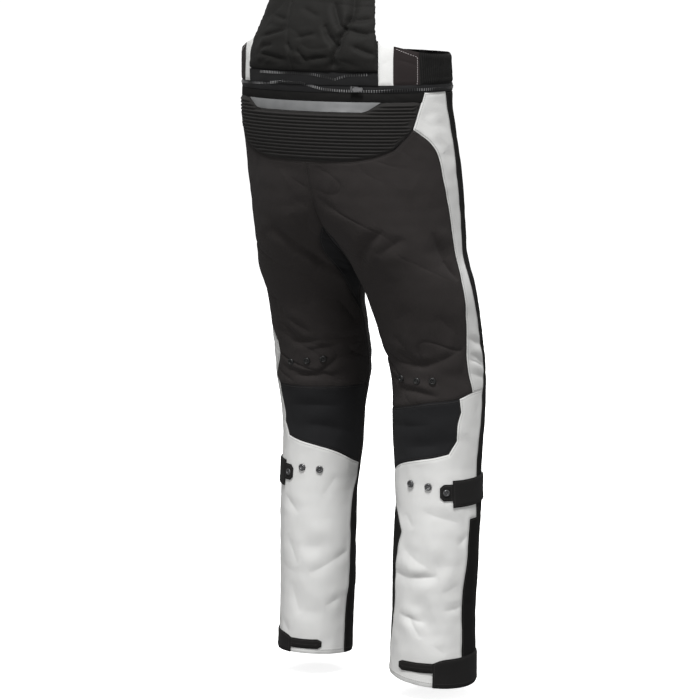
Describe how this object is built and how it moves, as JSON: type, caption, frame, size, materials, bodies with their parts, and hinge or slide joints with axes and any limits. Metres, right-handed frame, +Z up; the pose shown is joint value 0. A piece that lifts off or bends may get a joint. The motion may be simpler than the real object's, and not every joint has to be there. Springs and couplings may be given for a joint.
{
  "type": "motorcycle trousers",
  "caption": "Textile motorcycle trousers, filled out as worn, hollow, with a raised back flap, a zip round the waist, a ribbed seat panel and white side and calf panels.",
  "frame": {"origin": "centre of the waist edge, where the trousers are held", "axes": "+Z up towards the waist, +X to the wearer's left, +Y to the wearer's back"},
  "size_m": [0.4007, 0.3328, 1.2468],
  "materials": {
    "black_textile": "matte plain-woven textile, black",
    "bluish_textile": "smooth dense stretch textile, bluish black",
    "white_textile": "matte plain-woven textile, white",
    "grey_textile": "matte textile, dark grey",
    "dark_textile": "matte textile and elastic, near black",
    "reflective_strip": "retroreflective strip, mid grey",
    "zip_tape": "woven zip tape, black",
    "black_snap": "moulded snap cap, black",
    "grey_metal": "die-cast metal, dark grey"
  },
  "bodies": {
    "trousers": {"back_flap": "grey_textile", "band_back": "dark_textile", "flap_zip_tape": "zip_tape", "fly": "black_textile", "left_band_elastic": "dark_textile", "left_band_front": "dark_textile", "left_band_panel": "grey_textile", "left_band_wedge": "white_textile", "left_calf_band": "dark_textile", "left_calf_panel": "white_textile", "left_calf_snap_1": "grey_metal", "left_calf_snap_2": "grey_metal", "left_calf_tab": "dark_textile", "left_crotch_gusset": "bluish_textile", "left_front_panel": "black_textile", "left_heel_panel": "dark_textile", "left_heel_strap": "dark_textile", "left_hip_panel": "white_textile", "left_inner_stripe": "dark_textile", "left_knee_back": "bluish_textile", "left_outer_gusset": "dark_textile", "left_side_stripe": "dark_textile", "left_tab_snap": "grey_metal", "left_thigh_back": "black_textile", "left_thigh_snap_1": "black_snap", "left_thigh_snap_2": "black_snap", "left_thigh_snap_3": "black_snap", "reflective_strip": "reflective_strip", "ribbed_panel": "black_textile", "right_band_elastic": "dark_textile", "right_band_front": "dark_textile", "right_band_panel": "grey_textile", "right_band_wedge": "white_textile", "right_calf_band": "dark_textile", "right_calf_panel": "white_textile", "right_calf_snap_1": "grey_metal", "right_calf_snap_2": "grey_metal", "right_calf_tab": "dark_textile", "right_crotch_gusset": "bluish_textile", "right_front_panel": "black_textile", "right_heel_panel": "dark_textile", "right_heel_strap": "dark_textile", "right_hip_panel": "white_textile", "right_inner_stripe": "dark_textile", "right_knee_back": "bluish_textile", "right_outer_gusset": "dark_textile", "right_side_stripe": "dark_textile", "right_tab_snap": "grey_metal", "right_thigh_back": "black_textile", "right_thigh_snap_1": "black_snap", "right_thigh_snap_2": "black_snap", "right_thigh_snap_3": "black_snap", "waist_button": "grey_metal", "waist_zip_tape": "zip_tape", "yoke_band": "black_textile", "zip_slider": "grey_metal"},
    "pull": {"zip_pull": "grey_metal"}
  },
  "joints": [
    {"name": "pull_turn", "type": "hinge", "parent": "trousers", "child": "pull", "pos_m": [-0.08783, 0.11594, -0.054], "axis": [0, 0, 1], "range_deg": [-150, 0]}
  ]
}
